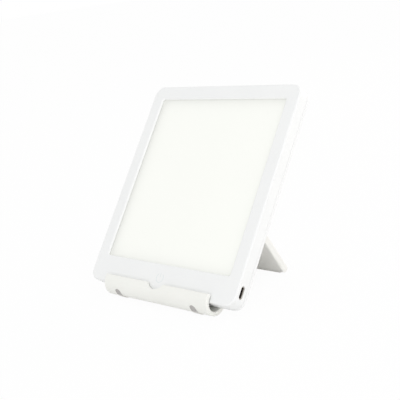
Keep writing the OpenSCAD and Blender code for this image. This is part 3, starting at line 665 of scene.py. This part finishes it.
# %% Finishes of the inner parts
board_mask = circuit_board("board_green", mask=(0.02, 0.12, 0.05, 1),
                           over_copper=(0.05, 0.22, 0.09, 1), track_mm=2.2)
strip_mask = circuit_board("strip_white", mask=(0.86, 0.86, 0.84, 1),
                           over_copper=(0.9, 0.9, 0.88, 1), track_mm=3.0)
resin = plain_sheet("component_black", (0.035, 0.035, 0.038), roughness=0.45, grain_mm=0.4,
                    second_tone=1.4)
phosphor = plain_sheet("chip_phosphor", (0.85, 0.68, 0.14), roughness=0.3, grain_mm=0.3)
film = plain_sheet("film", (0.9, 0.9, 0.88), roughness=0.5, grain_mm=0.6)
tape = plain_sheet("tape_white", (0.82, 0.82, 0.82), roughness=0.7, grain_mm=0.5)
reflector = plain_sheet("reflector", (0.92, 0.92, 0.92), roughness=0.25, grain_mm=0.8)
insulation = plain_sheet("lead_red", (0.5, 0.03, 0.025), roughness=0.4, grain_mm=0.5)
clear_acrylic = plain_sheet("clear_guide", (0.95, 0.97, 0.98), roughness=0.12, grain_mm=2.0,
                            second_tone=0.99, Transmission_Weight=1.0, IOR=PLASTIC_IOR)

# %% Dress the inner parts
for node, finish in (("control_board", board_mask), ("light_strip_left", strip_mask),
                     ("light_strip_right", strip_mask), ("light_chips_left", phosphor),
                     ("light_chips_right", phosphor), ("board_components", resin),
                     ("inlet_tongue", resin), ("diffusion_film", film),
                     ("diffuser_tape", tape), ("reflector_sheet", reflector),
                     ("strip_leads", insulation), ("light_guide", clear_acrylic)):
    dress(node, finish)
bare = [name for name, part in frame["nodes"].items() if not part.active_material]
print("parts without a finish:", bare)

# %% [markdown]
# ## Making a new piece
# New pieces are modelled with mesh operators in a piece's own small frame, then moved to their
# place by one matrix, so that the finished object itself stays at the origin. Two helpers do the
# bookkeeping: one turns a bmesh into an object that rides on a body, and one works out the
# matrix of a spot on the lamp.

# %% Turn a bmesh into a piece
SHARP_ANGLE = math.radians(35)
WELD_DISTANCE = 0.0001 * MM


def finish_piece(name, bm, place, material, body, smooth=True):
    """Moves the mesh to its place in the room and lets it ride on a body."""
    bmesh.ops.transform(bm, matrix=place, verts=bm.verts)
    bmesh.ops.remove_doubles(bm, verts=bm.verts, dist=WELD_DISTANCE)
    bmesh.ops.recalc_face_normals(bm, faces=bm.faces)
    mesh = bpy.data.meshes.new(name)
    for face in bm.faces:
        face.smooth = smooth
    for edge in bm.edges:
        edge.smooth = edge.calc_face_angle(0.0) < SHARP_ANGLE
    triangles = len(bm.calc_loop_triangles())
    bm.to_mesh(mesh)
    bm.free()
    mesh.materials.append(material)
    piece = bpy.data.objects.new(name, mesh)
    bpy.context.scene.collection.objects.link(piece)
    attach(piece, body)
    print(name, "has", triangles, "triangles")
    return piece


def on_lamp(x, y, z):
    """The matrix of a spot given in the lamp's frame."""
    return lamp_to_room @ Matrix.Translation((x, y, z))


def points_of(result):
    """The mesh points among what an operator made."""
    return [item for item in result if isinstance(item, bmesh.types.BMVert)]


# %% [markdown]
# ## The sign of the touch key
# The key is a spot on the unbroken front, marked by the usual power sign: a ring that is open at
# the top, with a stroke that runs out through the gap. It is pad printed in a faint grey. The
# ring could be a texture, but a print has crisp edges and is raised by a few hundredths of a
# millimetre, so a spun strip gives it both. The spin covers the circle apart from the gap.

# %% Print colour and sizes
SIGN_RADIUS = 3.5 * MM
SIGN_LINE = 0.5 * MM
SIGN_HEIGHT = 0.03 * MM
SIGN_GAP = math.radians(76)
SIGN_STEPS = 72
STROKE_LENGTH = 3.4 * MM
STROKE_MIDDLE = 0.56 * SIGN_RADIUS
STROKE_SEGMENTS = 6
foil_low, foil_high = lamp_box("touch_foil")
key_centre = (foil_low + foil_high) / 2
print("key, from the lamp's lower edge in mm:", round(key_centre.y / MM, 2))
sign_grey = plain_sheet("sign_print", (0.76, 0.805, 0.805), roughness=0.45, grain_mm=0.3,
                        second_tone=0.99)

# %% Spin the ring
bm = bmesh.new()
inner_point = bm.verts.new((0, SIGN_RADIUS - SIGN_LINE / 2, 0))
outer_point = bm.verts.new((0, SIGN_RADIUS + SIGN_LINE / 2, 0))
first_edge = bm.edges.new((inner_point, outer_point))
bmesh.ops.rotate(bm, verts=bm.verts, cent=(0, 0, 0),
                 matrix=Matrix.Rotation(SIGN_GAP / 2, 3, "Z"))
bmesh.ops.spin(bm, geom=[first_edge, inner_point, outer_point], cent=(0, 0, 0), axis=(0, 0, 1),
               angle=2 * math.pi - SIGN_GAP, steps=SIGN_STEPS)
print("faces in the ring:", len(bm.faces))

# %% Add the stroke and raise both
stroke = bmesh.ops.create_grid(bm, x_segments=1, y_segments=STROKE_SEGMENTS, size=0.5)["verts"]
bmesh.ops.scale(bm, verts=stroke, vec=(SIGN_LINE, STROKE_LENGTH, 1))
bmesh.ops.translate(bm, verts=stroke, vec=(0, STROKE_MIDDLE, 0))
raised = bmesh.ops.extrude_face_region(bm, geom=bm.faces[:])
bmesh.ops.translate(bm, verts=points_of(raised["geom"]), vec=(0, 0, SIGN_HEIGHT))
finish_piece("power_sign", bm, on_lamp(key_centre.x, key_centre.y, 0), sign_grey, "lamp",
             smooth=False)

# %% [markdown]
# ## Contacts in the inlet
# The tongue in the inlet carries flat gilt contacts on both faces. They show only to someone who
# looks straight in, but an inlet without contacts wouldn't work. Each is a thin block with its
# edges bevelled, half sunk into the tongue.

# %% Contact sizes, and where the tongue is
CONTACT_COUNT = 6
CONTACT_PITCH = 0.8 * MM
CONTACT_SIZE = Vector((2.8, 0.34, 0.08)) * MM
CONTACT_EDGE = 0.02 * MM
CONTACT_FROM_TIP = 0.5 * MM
TONGUE_HALF_THICKNESS = 0.35 * MM
tongue_low, tongue_high = lamp_box("inlet_tongue")
tongue_middle = (tongue_low + tongue_high) / 2
print("tongue tip at x in mm:", round(tongue_high.x / MM, 2))

# %% Lay the strips on both faces of the tongue
bm = bmesh.new()
for face_side in (-1, 1):
    for number in range(CONTACT_COUNT):
        strip = bmesh.ops.create_cube(bm, size=1.0)["verts"]
        bmesh.ops.scale(bm, verts=strip, vec=CONTACT_SIZE)
        along = (number - (CONTACT_COUNT - 1) / 2) * CONTACT_PITCH
        bmesh.ops.translate(bm, verts=strip,
                            vec=(0, along, face_side * TONGUE_HALF_THICKNESS))
bmesh.ops.bevel(bm, geom=bm.edges[:], offset=CONTACT_EDGE, segments=2, profile=0.5,
                affect="EDGES", material=-1)
gilt = drawn_metal("gilt", colour=(0.9, 0.66, 0.28, 1), tarnish=(0.8, 0.55, 0.22, 1),
                   roughness=0.3)
contacts_x = tongue_high.x - CONTACT_FROM_TIP - CONTACT_SIZE.x / 2
finish_piece("inlet_contacts", bm, on_lamp(contacts_x, tongue_middle.y, tongue_middle.z), gilt,
             "lamp")

# %% [markdown]
# ## Screws that hold the back
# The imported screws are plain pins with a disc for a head, which is enough for the construction.
# Looked at from behind, a screw needs its rounded head, a cross recess and a thread, so one
# detailed screw takes their place. Its body is lathed: a profile is spun round the axis. The
# recess starts as a three by three grid without its corners, is bridged to the flat top of the
# head and pushed in. The tip isn't welded yet at that moment and counts as an open edge too, so
# the bridge also lays twelve thin faces from the cross down to the tip, hidden in the metal.

# %% Screw sizes
SCREW_STEPS = 24
SCREW_TURN = 0.7  # radians, from one screw to the next
CROWN_SHARE = 0.7
SHOULDER_TURNS = range(0, 91, 15)  # degrees
HEAD_HEIGHT = 1.2 * MM
SHANK_RADIUS = 1.15 * MM
THREAD_DEPTH = 0.2 * MM
THREAD_PITCH = 0.6 * MM
TIP_HEIGHT = 0.7 * MM
RECESS_REACH = 1.2 * MM
RECESS_DEPTH = 0.75 * MM
RECESS_TAPER = 0.72
RECESS_WITHIN = 0.9  # of the crown's radius


# %% Find the four screws
def screw_box(side, end):
    """Lowest and highest corner of one screw, in the lamp's frame."""
    middle_height = (case_low.y + case_high.y) / 2
    points = [point for point in (room_to_lamp @ co for co in corners_of("case_screws"))
              if point.x * side > 0 and (point.y - middle_height) * end > 0]
    return [Vector([pick(point[axis] for point in points) for axis in range(3)])
            for pick in (min, max)]


screw_boxes = [screw_box(side, end) for side in (-1, 1) for end in (-1, 1)]
first_low, first_high = screw_boxes[0]
head_radius = (first_high.x - first_low.x) / 2
screw_length = first_high.z - first_low.z
print("screw head and length in mm:", round(2 * head_radius / MM, 2),
      round(screw_length / MM, 2))

# %% The profile: flat top, rounded shoulder, underside, thread and tip
crown_radius = CROWN_SHARE * head_radius
shoulder = head_radius - crown_radius
profile = [(crown_radius + shoulder * math.sin(math.radians(turn)),
            shoulder * (1 - math.cos(math.radians(turn)))) for turn in SHOULDER_TURNS]
profile += [(head_radius, HEAD_HEIGHT), (SHANK_RADIUS, HEAD_HEIGHT)]
depth = HEAD_HEIGHT + THREAD_PITCH / 2
while depth < screw_length - TIP_HEIGHT - THREAD_PITCH:
    profile += [(SHANK_RADIUS - THREAD_DEPTH, depth), (SHANK_RADIUS, depth + THREAD_PITCH / 2)]
    depth += THREAD_PITCH
profile += [(SHANK_RADIUS - THREAD_DEPTH, screw_length - TIP_HEIGHT), (0, screw_length)]
print("points on the profile:", len(profile))

# %% Lathe the body
bm = bmesh.new()
chain = [bm.verts.new((0, radius, height)) for radius, height in profile]
links = [bm.edges.new(pair) for pair in zip(chain, chain[1:])]
bmesh.ops.spin(bm, geom=chain + links, cent=(0, 0, 0), axis=(0, 0, 1), angle=2 * math.pi,
               steps=SCREW_STEPS, use_merge=True)
body_faces = set(bm.faces)
print("faces on the body:", len(body_faces))

# %% Lay a cross over the open top and bridge it to the crown
bmesh.ops.create_grid(bm, x_segments=3, y_segments=3, size=RECESS_REACH)
grid_faces = [face for face in bm.faces if face not in body_faces]
half_arm = RECESS_REACH / 3
corner_faces = [face for face in grid_faces
                if abs(face.calc_center_median().x) > half_arm
                and abs(face.calc_center_median().y) > half_arm]
bmesh.ops.delete(bm, geom=corner_faces, context="FACES")
cross_faces = [face for face in bm.faces if face not in body_faces]
near_axis = [edge for edge in bm.edges if edge.is_boundary
             and all(vert.co.xy.length < RECESS_WITHIN * crown_radius for vert in edge.verts)]
crown_rim = [edge for edge in bm.edges if edge.is_boundary and edge not in near_axis]
print("open edges near the axis and on the crown:", len(near_axis), len(crown_rim))
bmesh.ops.bridge_loops(bm, edges=near_axis + crown_rim)

# %% Push the cross in
pushed = bmesh.ops.extrude_face_region(bm, geom=cross_faces)
bmesh.ops.delete(bm, geom=[face for face in cross_faces if face.is_valid],
                 context="FACES_ONLY")
floor_points = points_of(pushed["geom"])
bmesh.ops.translate(bm, verts=floor_points, vec=(0, 0, RECESS_DEPTH))
bmesh.ops.scale(bm, verts=floor_points, vec=(RECESS_TAPER, RECESS_TAPER, 1))
print("points on the recess's floor:", len(floor_points))

# %% Four copies, each turned a little differently
one_screw = bm.verts[:] + bm.edges[:] + bm.faces[:]
for number, (low, high) in enumerate(screw_boxes):
    copy = points_of(bmesh.ops.duplicate(bm, geom=one_screw)["geom"])
    bmesh.ops.rotate(bm, verts=copy, cent=(0, 0, 0),
                     matrix=Matrix.Rotation(SCREW_TURN * number, 3, "Z"))
    bmesh.ops.translate(bm, verts=copy,
                        vec=((low.x + high.x) / 2, (low.y + high.y) / 2, low.z))
bmesh.ops.delete(bm, geom=points_of(one_screw), context="VERTS")
detailed_screws = finish_piece("detailed_screws", bm, on_lamp(0, 0, 0), screw_metal, "lamp")
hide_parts("case_screws")

# %% [markdown]
# ## The floor, the backdrop and the light
# The photograph shows the lamp on pure white, in soft light from all round. The white is not
# made by strong light: camera rays see the floor and the world as white, and so do rays that
# mirror or pass through something. All other rays see a plain pale floor, which throws back as
# much light as a real one would. A small share of true diffuse stays in what the camera sees, so
# the floor keeps the lamp's soft shadow. Three large soft boxes add to the even light of the
# world, and the one behind is warm.

# %% Rays that should see white
def sees_white(tree):
    """1 for camera, mirror and refracted rays, and 0 for the rest."""
    path = add_node(tree, "LightPath")
    either = calculate(tree, "MAXIMUM", path.outputs["Is Camera Ray"],
                       path.outputs["Is Glossy Ray"])
    return calculate(tree, "MAXIMUM", either, path.outputs["Is Transmission Ray"])


# %% The floor's finish
FLOOR_COLOUR = (0.9, 0.9, 0.9, 1)
WHITE = (1, 1, 1, 1)
SHADOW_SHARE = 0.05


def studio_floor():
    """White to the eye, with a share of true shadow, and pale to all other light."""
    material, tree, shader = start_material("studio_floor")
    tree.nodes.remove(shader)
    diffuse = add_node(tree, "BsdfDiffuse", {"Color": FLOOR_COLOUR})
    white = add_node(tree, "Emission", {"Color": WHITE, "Strength": 1.0})
    share = calculate(tree, "MULTIPLY", sees_white(tree), 1 - SHADOW_SHARE)
    mixed = add_node(tree, "MixShader", {0: share, 1: diffuse.outputs[0], 2: white.outputs[0]})
    tree.links.new(mixed.outputs[0], tree.nodes["Material Output"].inputs["Surface"])
    return material


# %% The floor
FLOOR_SIDE = 30.0
bm = bmesh.new()
bmesh.ops.create_grid(bm, x_segments=2, y_segments=2, size=FLOOR_SIDE / 2)
floor_mesh = bpy.data.meshes.new("floor")
bm.to_mesh(floor_mesh)
bm.free()
floor_mesh.materials.append(studio_floor())
floor = bpy.data.objects.new("floor", floor_mesh)
bpy.context.scene.collection.objects.link(floor)
print("floor side in m:", FLOOR_SIDE)

# %% The world: white to the eye, soft light to everything else
AMBIENT = 0.88
world = bpy.data.worlds.new("studio")
bpy.context.scene.world = world
world.use_nodes = True
world_tree = world.node_tree
background = world_tree.nodes["Background"]
background.inputs["Color"].default_value = WHITE
strength = spread(world_tree, sees_white(world_tree), 0, 1, AMBIENT, 1)
world_tree.links.new(strength, background.inputs["Strength"])
print("light from all round:", AMBIENT)

# %% Soft boxes
def soft_box(name, direction, distance, side, power, colour=(1, 1, 1)):
    """A square lamp that faces the middle of the object. Lengths in m, power in watts."""
    light_data = bpy.data.lights.new(name, "AREA")
    light_data.shape = "SQUARE"
    light_data.size = side
    light_data.energy = power
    light_data.color = colour
    light = bpy.data.objects.new(name, light_data)
    bpy.context.scene.collection.objects.link(light)
    aim_back = Vector(direction).normalized()
    light.location = camera_target + aim_back * distance
    light.rotation_euler = aim_back.to_track_quat("Z", "Y").to_euler()


soft_box("key_light", (1.0, -0.3, 0.4), distance=1.6, side=1.4, power=5.2)
soft_box("low_fill", (0.25, -1.0, 0.0), distance=1.8, side=1.4, power=4.6)
soft_box("back_light", (0.3, 1.0, 0.3), distance=1.6, side=1.2, power=5.0,
         colour=(1.0, 0.86, 0.76))

# %% [markdown]
# ## Colour
# The Standard view shows each colour about as it was written.

# %% Colour management
bpy.context.scene.view_settings.view_transform = "Standard"
print("view:", bpy.context.scene.view_settings.view_transform)
